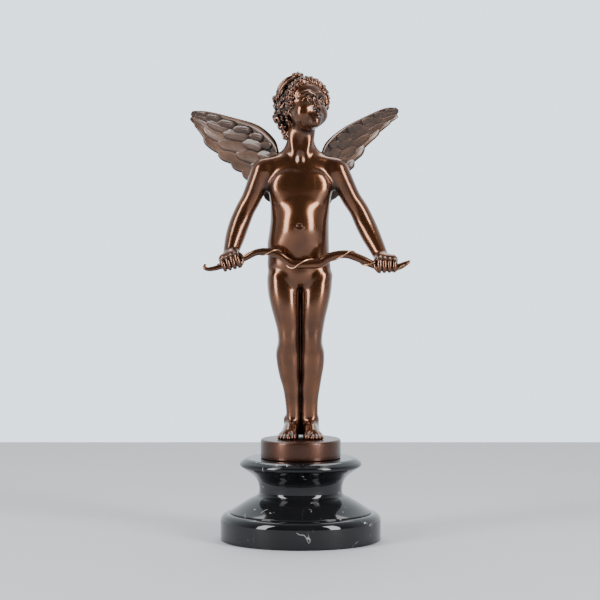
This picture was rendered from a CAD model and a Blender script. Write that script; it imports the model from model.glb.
# %% [markdown]
# # A bronze cupid on a marble plinth
#
# The object is a tabletop bronze about 35 cm tall. A winged child with curled hair looks up
# to one side and holds a bow level in both hands. The bow, the wings and the round disc
# under the feet belong to the same casting, which stands on a turned plinth of black marble.
#
# The lesson shows two ways to make a surface out of arrays of numbers. The figure is
# modelled as clay, with signed distances. The wings, the bow and the plinth are drawn on
# grids of two parameters. The first cell loads the solid model that every piece must fit,
# and keeps the size of its box.

import math

import bpy
import numpy as np
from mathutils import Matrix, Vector


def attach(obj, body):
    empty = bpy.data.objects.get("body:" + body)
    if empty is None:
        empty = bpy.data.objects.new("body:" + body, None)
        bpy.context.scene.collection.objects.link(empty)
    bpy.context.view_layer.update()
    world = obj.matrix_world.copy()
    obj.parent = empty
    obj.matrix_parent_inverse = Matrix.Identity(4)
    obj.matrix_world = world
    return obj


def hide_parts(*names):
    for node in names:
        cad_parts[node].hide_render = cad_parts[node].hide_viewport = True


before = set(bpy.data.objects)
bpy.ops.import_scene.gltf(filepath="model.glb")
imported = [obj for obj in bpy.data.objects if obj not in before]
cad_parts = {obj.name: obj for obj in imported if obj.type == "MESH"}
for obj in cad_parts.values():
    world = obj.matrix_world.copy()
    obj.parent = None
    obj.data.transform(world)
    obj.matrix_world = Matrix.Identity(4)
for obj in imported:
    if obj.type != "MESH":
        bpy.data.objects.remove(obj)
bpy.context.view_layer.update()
print("solid model, lowest and highest corner in metres:")

# %% [markdown]
# ## Where things stand
#
# Millimetres are the natural unit for a thing of this size, so every shape below is worked
# out in millimetres and turned into metres once, when it becomes a mesh. The figure's
# heights count from the top of its foot disc. The plinth and the disc have the same sizes
# as in the solid model, and a gap of 0.3 mm is left where the one sits on the other.

# %% Sizes in millimetres
MM = 0.001
PLINTH_HEIGHT = 61.5
SEAT_GAP = 0.3
DISC_HEIGHT = 13.9
DISC_DIAMETER = 59.8
GROUND = PLINTH_HEIGHT + SEAT_GAP + DISC_HEIGHT
print("the feet stand at a height of", round(GROUND, 2), "mm")

# %% [markdown]
# ## From arrays to a mesh
#
# A mesh is a list of points and a list of faces. Writing them in one at a time is slow, and
# foreach_set takes a whole array at once. The helper below makes a piece out of points and
# faces with any number of corners, shades it smooth, marks edges sharper than a given angle,
# and ties the piece to the frame. Each piece says which solid it stands for and which slot
# of the record gives its finish.

# %% A helper that makes a piece
pieces = {}


def make_piece(name, points, faces, stands_for, lift=GROUND, sharp=180.0):
    """A mesh object. The points are millimetres, raised by lift and then turned into metres.
    faces is a list of arrays, each with one face on a row."""
    mesh = bpy.data.meshes.new(name)
    mesh.vertices.add(len(points))
    mesh.vertices.foreach_set("co", ((points + (0.0, 0.0, lift)) * MM).astype(np.float32).ravel())
    corners = np.concatenate([np.asarray(f).ravel() for f in faces])
    totals = np.concatenate([np.full(len(f), np.asarray(f).shape[1]) for f in faces])
    mesh.loops.add(len(corners))
    mesh.loops.foreach_set("vertex_index", corners.astype(np.int32))
    mesh.polygons.add(len(totals))
    mesh.polygons.foreach_set("loop_start", (np.cumsum(totals) - totals).astype(np.int32))
    mesh.polygons.foreach_set("loop_total", totals.astype(np.int32))
    mesh.update(calc_edges=True)
    mesh.validate()
    mesh.shade_smooth()
    if sharp < 180.0:
        mesh.set_sharp_from_angle(angle=math.radians(sharp))
    piece = bpy.data.objects.new(name, mesh)
    bpy.context.scene.collection.objects.link(piece)
    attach(piece, "root")
    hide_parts(stands_for)
    pieces[name] = piece
    print(f"{name}: {len(points)} points, {sum(totals - 2)} triangles")
    return piece


def keep_numbers(piece, name, values):
    """Stores one number for each point under a name, for the materials to read."""
    layer = piece.data.attributes.new(name, "FLOAT", "POINT")
    layer.data.foreach_set("value", values.astype(np.float32).ravel())


def keep_hollows(piece, hollow):
    """Stores how deep each point lies in a fold or corner, from 0 to 1."""
    keep_numbers(piece, "hollow", np.clip(hollow, 0, 1))

# %% [markdown]
# ## Modelling in clay, with numbers
#
# A body has no flat faces and no round section, so it could be sculpted by hand or grown
# out of metaballs. Here it is made with signed distances. A form is a function that tells
# how far any place in space is from its surface, and the number is below nought inside.
# Two forms join by taking the smaller distance, and a little fillet where the two are nearly
# the same makes them run together like clay. One form is cut out of another by taking the
# larger distance, with its own sign turned round.

# %% A smooth curve through rows of numbers
def eased(rows, count):
    """A curve through the rows as count rows, by Catmull and Rom: between rows b and c it is
    a cubic that leaves b along c - a and reaches c along d - b."""
    rows = np.asarray(rows, float)
    padded = np.vstack([2 * rows[0] - rows[1], rows, 2 * rows[-1] - rows[-2]])
    at = np.linspace(0, len(rows) - 1, count)
    first = np.minimum(at.astype(int), len(rows) - 2)
    t = (at - first)[:, None]
    a, b, c, d = (padded[first + i] for i in range(4))
    bent = (2 * a - 5 * b + 4 * c - d) * t**2
    return 0.5 * (2 * b + (c - a) * t + bent + (3 * b - a - 3 * c + d) * t**3)


def smooth(share):
    """0 below 0, 1 above 1, and three squares less two cubes between, so that it starts and
    ends level."""
    share = np.clip(share, 0, 1)
    return share * share * (3 - 2 * share)


# %% [markdown]
# Four kinds of form are enough for the whole child. A ball is an ellipsoid. A limb is a
# tube through points, each with a radius. A column is upright and has a level section at
# every height, which suits the trunk and the legs because their widths can be read off one
# height after another. The last kind takes any of these and turns it, so that the face can
# be modelled looking straight ahead and then be turned with the head.

# %% Forms that know their distance
class Ball:
    """An ellipsoid. With k the length of (x/a, y/b, z/c) and g that of (x/a2, y/b2, z/c2),
    where a2 is a squared, the distance is about k (k - 1) / g."""

    def __init__(self, middle, radii):
        self.middle = np.asarray(middle, float)
        self.radii = np.broadcast_to(np.asarray(radii, float), 3)
        self.low, self.high = self.middle - self.radii, self.middle + self.radii

    def __call__(self, x, y, z):
        away = [p - m for p, m in zip((x, y, z), self.middle)]
        share = np.sqrt(sum((a / r) ** 2 for a, r in zip(away, self.radii)))
        slope = np.sqrt(sum((a / r**2) ** 2 for a, r in zip(away, self.radii)))
        return share * (share - 1) / np.maximum(slope, 1e-6)


class Limb:
    """A tube through points that each have a radius, as a chain of short cones. The distance
    to a link is that to the nearest point of its middle line, less the radius there."""

    def __init__(self, points, radii, links=24):
        rows = eased(np.column_stack([points, radii]), links + 1)
        self.points, self.radii = rows[:, :3], rows[:, 3]
        reach = self.radii[:, None]
        self.low, self.high = (self.points - reach).min(0), (self.points + reach).max(0)

    def __call__(self, x, y, z):
        nearest = None
        for a, b, ra, rb in zip(self.points, self.points[1:], self.radii, self.radii[1:]):
            along = b - a
            px, py, pz = x - a[0], y - a[1], z - a[2]
            reached = px * along[0] + py * along[1] + pz * along[2]
            share = np.clip(reached / (along @ along), 0, 1)
            gap = ((px - share * along[0]) ** 2 + (py - share * along[1]) ** 2
                   + (pz - share * along[2]) ** 2)
            away = np.sqrt(gap) - (ra + (rb - ra) * share)
            nearest = away if nearest is None else np.minimum(nearest, away)
        return nearest


class Column:
    """An upright form. Its section at each height is a rounded rectangle, |x/w| to a power
    plus |y/d| to the same power equal to 1, with its own depth in front and behind."""

    def __init__(self, rows, squareness):
        rows = eased(rows, 24 * len(rows))
        self.rows, self.power = rows[np.argsort(rows[:, 0])], squareness
        z, mid, half, middle, front, back = self.rows.T
        self.low = np.array([(mid - half).min(), (middle - front).min(), z.min()])
        self.high = np.array([(mid + half).max(), (middle + back).max(), z.max()])

    def __call__(self, x, y, z):
        mid, half, middle, front, back = (np.interp(z, self.rows[:, 0], c) for c in self.rows.T[1:])
        dx, dy = x - mid, y - middle
        depth = np.where(dy < 0, front, back)
        total = np.abs(dx / half) ** self.power + np.abs(dy / depth) ** self.power
        share = total ** (1 / self.power)
        away = np.sqrt(dx**2 + dy**2) * (1 - 1 / np.maximum(share, 1e-3))
        return np.maximum(away, np.maximum(z - self.high[2], self.low[2] - z))


class Turned:
    """A form given in axes of its own, turned and then set in its place. A place is carried
    back into those axes, and the form is asked there."""

    def __init__(self, form, axes, middle):
        self.form, self.axes, self.middle = form, axes, np.asarray(middle, float)
        pick = np.indices((2, 2, 2)).reshape(3, -1).T
        corners = np.where(pick, form.high, form.low) @ axes.T + self.middle
        self.low, self.high = corners.min(0), corners.max(0)

    def __call__(self, x, y, z):
        x, y, z = (p - m for p, m in zip((x, y, z), self.middle))
        return self.form(*(x * a[0] + y * a[1] + z * a[2] for a in self.axes.T))


# %% [markdown]
# The clay itself remembers each form that is pressed on or scooped out, in order. It can
# then tell the distance at any place, on the points of a grid or anywhere else. A form is
# only asked about places near it, which keeps a figure of some two hundred forms quick.

# %% Clay that remembers its forms
# The distance where there is no clay yet, and how far round a form its own distance is asked
FAR = 40.0
REACH = 2.5


def joined(kind, old, new, blend):
    """The distance after a form is added (kind 1) or taken away (kind -1). The fillet is the
    square of what the two distances lack of being blend apart, over four blends."""
    new = kind * new
    fillet = np.maximum(blend - np.abs(old - new), 0) ** 2 / (4 * blend) if blend else 0
    return np.minimum(old, new) - fillet if kind > 0 else np.maximum(old, new) + fillet


class Clay:
    """Forms in the order of their adding, each with 1 for pressed on or -1 for scooped out,
    and the width of its fillet."""

    def __init__(self):
        self.steps = []

    def press(self, form, blend=0.0):
        """Adds a form."""
        self.steps.append((1, form, blend))

    def scoop(self, form, blend):
        """Takes a form away."""
        self.steps.append((-1, form, blend))

    def on_grid(self, axes):
        """The distance on a grid with these three axes."""
        field = np.full([len(a) for a in axes], FAR, np.float32)
        for kind, form, blend in self.steps:
            margin = blend + REACH
            part = tuple(slice(np.searchsorted(a, low - margin), np.searchsorted(a, high + margin))
                         for a, low, high in zip(axes, form.low, form.high))
            if any(s.start >= s.stop for s in part):
                continue
            x, y, z = np.ix_(*(a[s] for a, s in zip(axes, part)))
            field[part] = joined(kind, field[part], form(x, y, z), blend)
        return field

    def at(self, points):
        """The distance at any points."""
        found = np.full(len(points), FAR)
        for kind, form, blend in self.steps:
            margin = blend + REACH
            inside = (points > form.low - margin) & (points < form.high + margin)
            near = np.all(inside, axis=1)
            if near.any():
                found[near] = joined(kind, found[near], form(*points[near].T), blend)
        return found


# %% [markdown]
# A surface has to be drawn where the distance is nought. Each cell of the grid that the
# surface crosses gets one point, in the middle of the crossings of its edges, and each grid
# line that is crossed gets one face between its four cells. Such a net is closed by itself.
# It is then evened out: each point moves towards the middle of its neighbours and straight
# back to the surface, by the distance over the slope. So a highlight runs over the bronze
# without a trace of the grid.

# %% The net over the clay
def net(field, axes):
    """Points and four-sided faces of the surface, each face turned outwards."""
    inside = field < 0
    size = np.array(field.shape) - 1
    corners = np.indices((2, 2, 2)).reshape(3, -1).T
    within = sum(inside[i:size[0] + i, j:size[1] + j, k:size[2] + k].astype(np.int8)
                 for i, j, k in corners)
    cells = np.argwhere((within > 0) & (within < 8))
    number = np.full(size, -1, np.int64)
    number[tuple(cells.T)] = np.arange(len(cells))
    total, count = np.zeros((len(cells), 3)), np.zeros((len(cells), 1))
    edges = [(a, b) for a in range(8) for b in range(a)
             if np.abs(corners[a] - corners[b]).sum() == 1]
    for a, b in edges:
        start = field[tuple((cells + corners[a]).T)]
        end = field[tuple((cells + corners[b]).T)]
        crossed = (start < 0) != (end < 0)
        share = np.where(crossed, start / np.where(crossed, start - end, 1), 0)[:, None]
        total += (corners[a] + share * (corners[b] - corners[a])) * crossed[:, None]
        count += crossed[:, None]
    at = cells + total / count
    points = np.column_stack([np.interp(at[:, i], np.arange(len(a)), a)
                              for i, a in enumerate(axes)])
    faces = []
    for axis in range(3):
        lower = np.take(inside, range(size[axis]), axis)
        upper = np.take(inside, range(1, size[axis] + 1), axis)
        crossed = np.argwhere(lower != upper)
        side, other = np.eye(3, dtype=int)[[(axis + 1) % 3, (axis + 2) % 3]]
        round_it = [crossed, crossed - side, crossed - side - other, crossed - other]
        ring = np.column_stack([number[tuple(cell.T)] for cell in round_it])
        outwards = lower[tuple(crossed.T)]
        faces.append(np.where(outwards[:, None], ring, ring[:, ::-1]))
    return points, np.vstack(faces)


def slope(distance, points, step=0.02):
    """The distance at points, and how it changes along x, y and z over one step each."""
    here = distance(points)
    return here, np.column_stack([(distance(points + step * way) - here) / step for way in np.eye(3)])


# The slope squared counts as at least this, and a step back along an axis as at most this
LEAST_SLOPE = 0.04
LONGEST_STEP = 0.4


def evened(distance, points, faces, rounds=2):
    """Points moved half way to the mean of their neighbours, then back onto the surface by
    slope times distance over slope squared."""
    starts, ends = faces.ravel(), np.roll(faces, -1, axis=1).ravel()
    count = np.bincount(starts, minlength=len(points))[:, None]
    for turn in range(rounds + 1):
        if turn:
            total = [np.bincount(starts, points[ends, i], len(points)) for i in range(3)]
            points = points + 0.5 * (np.column_stack(total) / count - points)
        here, way = slope(distance, points)
        size = np.maximum((way**2).sum(1), LEAST_SLOPE)
        points = points - np.clip(way * (here / size)[:, None], -LONGEST_STEP, LONGEST_STEP)
    return points


# How far out from the surface the clay is looked for, to tell how hollow a point lies
PROBE = 1.6


def skin(distance, low, high, grain, clay):
    """The evened net over the clay between two corners, closed where it meets their block.
    How hollow a point lies is one less a distance over the probe's length. It is the
    distance found that far out, or twice the one found half as far, if that is less."""
    axes = [np.arange(a, b + grain, grain) for a, b in zip(low, high)]
    field = distance.on_grid(axes)
    for axis in range(3):
        for last in (0, -1):
            field[tuple(last if i == axis else slice(None) for i in range(3))] = FAR
    points, faces = net(field, axes)
    points = evened(distance.at, points, faces)
    _, way = slope(clay.at, points)
    way /= np.maximum(np.linalg.norm(way, axis=1, keepdims=True), 1e-6)
    whole, half = clay.at(points + PROBE * way), clay.at(points + PROBE / 2 * way)
    return points, faces, 1 - np.minimum(whole, half * 2) / PROBE

# %% [markdown]
# ## The trunk, the legs and the arms
#
# The child stands straight with the legs together and the weight even. Its level sections
# are given one height after another, for the trunk and for each leg. The limbs were read off
# from the outline of the real figure, so the two sides differ a little, as they do there.
# Chest, back, hips and knees are softer balls pressed on afterwards with wide fillets.

# %% Trunk and legs
# Each row is a height, then the middle from side to side, the half width, the middle from
# front to back, the depth forwards and the depth backwards.
TRUNK = (
    (108.0, -0.6, 3.0, 8.0, 3.0, 8.0),
    (113.0, -0.8, 11.0, 8.0, 7.0, 13.0),
    (119.5, -0.9, 21.0, 7.4, 11.8, 16.6),
    (127.0, -1.1, 23.4, 7.0, 14.0, 16.0),
    (136.0, -1.6, 23.0, 7.0, 15.0, 12.9),
    (145.0, -1.8, 23.0, 7.0, 17.4, 10.8),
    (154.0, -1.2, 22.3, 7.0, 18.6, 10.2),
    (163.0, -0.7, 21.8, 7.2, 17.8, 10.5),
    (172.0, -0.4, 22.0, 7.5, 15.6, 11.8),
    (181.0, -0.3, 23.0, 8.0, 14.4, 12.6),
    (189.0, -0.2, 24.6, 8.0, 13.4, 12.8),
    (197.0, -0.2, 25.4, 8.5, 11.8, 12.0),
    (203.0, -0.2, 25.0, 9.0, 9.6, 10.8),
    (207.0, -0.2, 21.0, 9.3, 8.0, 9.8),
    (211.0, -0.2, 14.6, 9.4, 7.4, 9.2),
    (216.0, -0.3, 10.2, 9.0, 7.3, 8.6),
    (222.0, -0.2, 9.1, 8.6, 7.6, 8.2),
    (230.0, 0.2, 9.2, 8.0, 7.8, 8.2),
    (238.0, 0.8, 6.4, 7.0, 6.0, 6.4),
)
# For both legs a height, then the middle from front to back and the depths of that row
LEG_DEPTHS = (
    (-3.0, 14.6, 6.4, 7.0), (8.0, 14.6, 5.8, 6.9), (18.0, 14.4, 5.4, 6.3),
    (27.7, 13.8, 5.6, 6.6), (36.6, 12.8, 6.2, 8.1), (45.6, 11.8, 7.3, 9.8),
    (54.5, 11.0, 8.1, 10.7), (63.4, 10.4, 8.6, 9.8), (72.4, 9.4, 9.7, 8.4),
    (81.3, 8.4, 10.4, 9.7), (90.2, 7.5, 11.8, 11.4), (99.1, 7.0, 12.6, 13.2),
    (108.0, 7.0, 12.8, 15.4), (117.0, 7.0, 12.4, 15.4), (124.0, 7.0, 11.5, 13.4),
    (133.0, 7.0, 7.0, 8.0),
)
# For each leg the middle from side to side and the half width, at the same heights
LEG_ON_THE_LEFT = (
    (-6.4, 4.9), (-6.1, 5.2), (-5.6, 5.3), (-6.1, 5.7), (-6.7, 6.6), (-8.2, 7.7),
    (-8.9, 8.8), (-9.3, 9.2), (-8.6, 8.4), (-8.9, 8.9), (-10.0, 10.1), (-11.2, 11.3),
    (-12.1, 12.2), (-12.4, 12.6), (-12.0, 12.0), (-10.6, 7.0),
)
LEG_ON_THE_RIGHT = (
    (7.6, 5.6), (7.1, 6.2), (6.6, 6.3), (6.8, 6.4), (7.2, 7.3), (8.2, 7.8),
    (8.7, 8.8), (8.8, 8.9), (8.0, 8.1), (8.4, 8.7), (9.2, 9.5), (10.2, 10.6),
    (11.1, 11.5), (11.6, 11.9), (11.4, 11.8), (9.8, 7.0),
)
TRUNK_SQUARENESS, LEG_SQUARENESS = 1.88, 2.1


def model_trunk(clay):
    """The trunk and the two legs as columns. Then on each side the breast, the buttock, the
    shoulder blade, a limb over the shoulder, the collar bone, the knee and the fold between
    belly and thigh. Last the belly, the furrow of the back and the navel in its brim."""
    clay.press(Column(TRUNK, TRUNK_SQUARENESS))
    for leg in (LEG_ON_THE_LEFT, LEG_ON_THE_RIGHT):
        rows = [(z, *wide, *deep) for wide, (z, *deep) in zip(leg, LEG_DEPTHS)]
        clay.press(Column(rows, LEG_SQUARENESS), 1.6)
    for side in (-1, 1):
        clay.press(Ball((side * 10.2 - 0.2, -0.7, 188.0), (9.6, 3.2, 8.4)), 9.0)
        clay.press(Ball((side * 10.8 - 0.9, 16.4, 116.5), (10.4, 8.6, 10.6)), 4.0)
        clay.press(Ball((side * 13.5, 18.6, 192.0), (7.5, 3.6, 11.0)), 5.0)
        shoulder = [(side * 2.0 - 0.4, 13.2, 224.0), (side * 11.0, 12.8, 211.0),
                    (side * 26.0, 10.0, 203.0)]
        clay.press(Limb(shoulder, [3.2, 3.5, 4.6]), 9.0)
        bone = [(side * 5.0, 3.8, 206.4), (side * 14.0, 4.4, 207.4), (side * 25.0, 7.6, 204.8)]
        clay.press(Limb(bone, [1.0, 1.0, 1.4]), 7.5)
        clay.press(Ball((side * 9.0 - 0.3, 4.7, 74.5), (4.4, 4.9, 9.2)), 5.0)
        fold = [(side * 22.5, -4.6, 130.0), (side * 13.0, -8.4, 119.0), (side * 3.0, -8.0, 110.5)]
        clay.scoop(Limb(fold, [0.5, 0.9, 0.6]), 4.5)
    clay.press(Ball((-0.8, 2.7, 161.5), (14.0, 13.4, 16.0)), 7.0)
    clay.press(Ball((-0.8, -1.0, 121.5), (8.0, 5.2, 7.5)), 5.0)
    furrow = [(-0.4, 23.6, 146.0), (-0.4, 21.6, 170.0), (-0.3, 23.4, 196.0)]
    clay.scoop(Limb(furrow, [2.2, 2.6, 2.2]), 5.0)
    brim = [(-3.0, -12.2, 158.2), (-0.9, -12.5, 157.2), (1.2, -12.2, 158.2)]
    clay.press(Limb(brim, [0.5, 0.7, 0.5]), 1.6)
    clay.scoop(Ball((-0.9, -14.0, 159.3), (2.2, 3.4, 1.35)), 0.9)
    clay.press(Ball((-0.9, -10.6, 159.2), (1.0, 0.9, 0.6)), 0.5)


# %% [markdown]
# The arms hang a little away from the sides and turn in and forwards at the elbow, where
# they reach the bow in front of the hips. Each is one limb from the shoulder to the wrist.
# The neck is part of the trunk's column, with two cords that run down from behind the jaw
# to a small notch between the collar bones.

# %% Arms and neck
# Points down the middle of each arm, with the radius at each
ARM_ON_THE_LEFT = (
    ((-28.8, 8.5, 199.5), 8.2),
    ((-36.1, 9.5, 180.5), 7.4),
    ((-41.3, 9.8, 170.6), 7.3),
    ((-45.5, 8.8, 160.5), 7.6),
    ((-48.3, 5.4, 152.0), 7.4),
    ((-50.6, 0.6, 144.0), 6.4),
    ((-52.2, -3.6, 137.6), 5.4),
)
ARM_ON_THE_RIGHT = (
    ((27.8, 8.5, 199.5), 8.2),
    ((36.9, 9.5, 180.5), 7.3),
    ((43.2, 9.8, 170.6), 7.2),
    ((48.0, 8.8, 160.5), 7.5),
    ((52.0, 5.4, 152.0), 7.2),
    ((56.0, 0.6, 144.0), 6.3),
    ((59.6, -4.4, 136.4), 5.4),
)


def limb_of(rows, links=24):
    """A limb from rows that each hold a point and its radius."""
    return Limb([p for p, _ in rows], [r for _, r in rows], links)


def model_arms(clay):
    """One limb for each arm, in many short links because it bends."""
    for arm in (ARM_ON_THE_LEFT, ARM_ON_THE_RIGHT):
        clay.press(limb_of(arm, 60), 5.0)


def model_neck(clay):
    """A cord on each side, from behind the jaw down to the notch between the collar bones."""
    on_the_left = [(-7.8, 9.6, 233.0), (-5.8, 5.0, 221.0), (-2.6, 3.2, 210.0)]
    on_the_right = [(8.2, 9.2, 232.0), (5.8, 4.8, 221.0), (2.2, 3.2, 210.0)]
    clay.press(Limb(on_the_left, [1.6, 1.3, 0.9]), 6.0)
    clay.press(Limb(on_the_right, [1.5, 1.2, 0.9]), 6.0)
    clay.scoop(Ball((-0.2, -0.4, 209.4), (1.6, 1.6, 1.8)), 5.0)


# %% [markdown]
# ## Feet and hands
#
# The feet stand side by side with the toes a little apart. A foot is a few limbs for the
# heel, the instep and the ball, and then five toes that fan across it. A fist is a palm
# behind the bow, four fingers that go over its front and curl back under it, and a thumb
# on the body's side. The bow itself passes through the closed hand.

# %% Feet
FEET = (((-6.8, 19.8), -1.0, 5.0), ((7.4, 19.8), 1.0, 3.0))
# Toes from the big one: place across the foot, reach forwards, radius
TOES = ((-3.9, 32.3, 2.30), (-0.4, 32.6, 1.75), (2.3, 31.4, 1.60), (4.7, 29.4, 1.50), (6.8, 26.6, 1.40))


def model_foot(clay, foot):
    """A foot from its heel's place, the side that the small toes point to, and its splay in
    degrees. Four limbs give heel, instep and ball, two balls the ankle bones, and every toe
    is a limb through root, joint and tip with a flat ball for its nail."""
    (x, y), outwards, splay = foot
    angle = math.radians(splay) * outwards

    def place(across, forwards, height):
        across *= outwards
        return (x + across * math.cos(angle) + forwards * math.sin(angle),
                y - forwards * math.cos(angle) + across * math.sin(angle), height)

    clay.press(Limb([place(0, -1.5, 4.6), place(0, 6, 6.4), place(-0.4, 14, 7.2), place(0.2, 22, 4.6)],
                    [5.0, 5.2, 4.7, 3.6]), 3.0)
    clay.press(Limb([place(-1.2, 14, 5.6), place(-3.4, 25.5, 3.2)], [4.0, 3.1]), 2.5)
    clay.press(Limb([place(1.6, 8, 4.0), place(5.6, 20.5, 2.4)], [4.0, 2.3]), 2.5)
    clay.press(Limb([place(1.0, 12, 5.0), place(2.4, 24.0, 3.0)], [3.8, 2.7]), 2.0)
    clay.press(Ball(place(3.6, 4.4, 12.6), (1.9, 2.3, 2.5)), 3.0)
    clay.press(Ball(place(-3.9, 5.0, 13.8), (1.9, 2.3, 2.5)), 3.0)
    for across, reach, radius in TOES:
        root = place(across * 0.92, reach - 8.5, radius + 1.0)
        joint = place(across * 1.02, reach - 4.2, radius + 0.9)
        tip = place(across * 1.06, reach - radius, radius * 0.9)
        clay.press(Limb([root, joint, tip], [radius * 0.95, radius, radius * 0.95]), 0.5)
        nail = place(across * 1.06, reach - radius * 0.75, radius * 1.62)
        clay.press(Ball(nail, (radius * 0.5, radius * 0.55, radius * 0.22)), 0.15)


# %% [markdown]
# Fingers could be bent with bones. Here they are four limbs that follow one curve round the
# bow, each a finger's width further along it, and the thumb comes down over their ends.
# All of it is placed in the bow's own directions, along it, forwards and upwards, so that
# the hand slopes as the bow does.

# %% Hands
# The middle of each grip, the bow's slope there, and which side is the body's
FIST_ON_THE_LEFT = ((-51.6, -10.8, 131.6), 0.36, 1.0)
FIST_ON_THE_RIGHT = ((63.8, -11.5, 129.6), -0.04, -1.0)
FINGER_PITCH = 3.7
# A finger's way round the bow: forwards and upwards from its middle, and the radius
FINGER = ((-1.0, 5.6, 2.1), (2.6, 4.9, 2.05), (4.7, 2.2, 2.0), (4.9, -1.2, 1.9),
          (3.0, -3.9, 1.75), (-0.6, -4.3, 1.5))
# The thumb's way: along the bow towards the body, forwards and upwards, and the radius
THUMB = ((4.5, -2.5, 6.0, 2.6), (8.0, -0.6, 3.0, 2.3), (8.4, 2.2, -0.6, 2.0), (6.4, 3.4, -3.4, 1.7))


def model_fist(clay, fist):
    """A hand closed on the bow: two limbs for the palm, four fingers and a thumb. A finger is
    0.06 smaller than its neighbour nearer the body, and a little thicker at two joints."""
    (x, y, z), rise, inner = fist
    level = math.sqrt(1 + rise**2)

    def place(along, forwards, up):
        return (x + (along - up * rise) / level, y - forwards, z + (along * rise + up) / level)

    clay.press(Limb([place(-3.6 * inner, -2.4, 4.2), place(3.6 * inner, -2.4, 4.2)], [4.5, 4.9]), 3.0)
    clay.press(Limb([place(-4.6, -3.0, -0.4), place(4.6, -3.0, -0.4)], [3.4, 3.4]), 2.0)
    for finger in range(4):
        along = (finger - 1.5) * FINGER_PITCH * inner
        shrink = 1.0 - 0.06 * (3 - finger)
        middles = [place(along, f * shrink, u * shrink) for f, u, _ in FINGER]
        radii = [r * shrink * (0.97 + 0.04 * (n in (1, 3))) for n, (_, _, r) in enumerate(FINGER)]
        clay.press(Limb(middles, radii), 0.35)
    thumb = [place(a * inner, f, u) for a, f, u, _ in THUMB]
    clay.press(Limb(thumb, [r for _, _, _, r in THUMB]), 0.6)


# %% [markdown]
# ## The head
#
# The head is turned to one side, lifted, and leans over a little. It is modelled looking
# straight ahead, which keeps its two sides alike, and its axes are then turned. The face is
# a calm one with the usual proportions of a child's head: eyes half way down, the nose half
# way from the brow to the chin, the mouth a third of the rest, and full cheeks. Brows, lids,
# nostrils and lips are small limbs and scoops with narrow fillets, so that they stay crisp.

# %% Head and face
HEAD_MIDDLE = (1.6, 4.6, 246.3)
HEAD_TURN, HEAD_LIFT, HEAD_LEAN = 36.0, 20.5, 7.0
# Middle, radii and fillet of the large forms, with the face towards -Y
HEAD_FORMS = (
    ((0.0, 2.6, 5.4), (16.3, 17.9, 15.5), 3.0),
    ((0.0, -5.4, -5.0), (13.6, 12.4, 14.2), 5.0),
    ((0.0, -6.2, 7.4), (13.2, 10.9, 9.7), 4.0),
    ((-7.3, -9.9, -8.0), (5.7, 5.7, 6.1), 4.0),
    ((7.3, -9.9, -8.0), (5.7, 5.7, 6.1), 4.0),
    ((0.0, -13.2, -16.4), (4.5, 3.9, 3.6), 3.5),
    ((0.0, -15.0, -12.2), (5.0, 3.0, 3.8), 3.0),
)
BROW = (((1.9, -17.1, 4.4), 0.7), ((6.0, -16.8, 5.5), 0.9), ((10.4, -13.6, 4.0), 0.6))
EYE_HOLLOW = ((6.0, -19.8, 0.1), (4.6, 4.0, 3.2), 2.8)
EYEBALL = ((6.0, -13.4, 0.0), 3.35)
UPPER_LID = (((3.0, -15.3, -0.6), 0.38), ((5.0, -16.8, 1.9), 0.52), ((7.2, -16.5, 1.9), 0.52),
             ((9.4, -14.1, -0.4), 0.38))
LOWER_LID = (((3.0, -15.3, -0.7), 0.32), ((6.0, -16.5, -2.0), 0.42), ((9.3, -14.1, -0.6), 0.32))
PUPIL = ((5.9, -16.9, 0.2), 0.85)
NOSE = (((0.0, -16.6, 3.4), 1.15), ((0.0, -19.0, -2.6), 1.35), ((0.0, -20.5, -6.5), 1.8))
NOSE_WING = ((2.1, -18.2, -7.4), (1.25, 1.4, 1.2))
NOSTRIL = ((1.1, -19.4, -8.7), (0.6, 1.0, 0.5))
UPPER_LIP = (((-3.9, -16.7, -12.6), 0.4), ((-1.5, -18.4, -11.8), 0.9), ((0.0, -18.6, -12.0), 0.85),
             ((1.5, -18.4, -11.8), 0.9), ((3.9, -16.7, -12.6), 0.4))
LOWER_LIP = (((-3.3, -16.8, -13.2), 0.45), ((0.0, -18.4, -13.9), 1.1), ((3.3, -16.8, -13.2), 0.45))
LIP_LINE = (((-4.0, -17.0, -12.8), 0.22), ((0.0, -19.6, -12.8), 0.32), ((4.0, -17.0, -12.8), 0.22))


def turn_between(degrees, one, other):
    """A turn between two axes. The cosine of the angle stands for both on the diagonal, and
    beside it the sine, once as it is and once with its sign turned round."""
    angle, turn = math.radians(degrees), np.eye(3)
    turn[one, one] = turn[other, other] = math.cos(angle)
    turn[one, other], turn[other, one] = math.sin(angle), -math.sin(angle)
    return turn


def head_axes():
    """The head's axes as columns, after it leans over, lifts and turns to the side."""
    leaned, lifted = turn_between(HEAD_LEAN, 0, 2), turn_between(HEAD_LIFT, 1, 2)
    return turn_between(HEAD_TURN, 1, 0) @ lifted @ leaned


def on_head(form):
    """A form that was made looking straight ahead, turned and set with the head."""
    return Turned(form, head_axes(), HEAD_MIDDLE)


def mirrored(rows, side):
    """Points with their radii, on one side of the face or the other."""
    return [((p[0] * side, p[1], p[2]), r) for p, r in rows]


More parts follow.
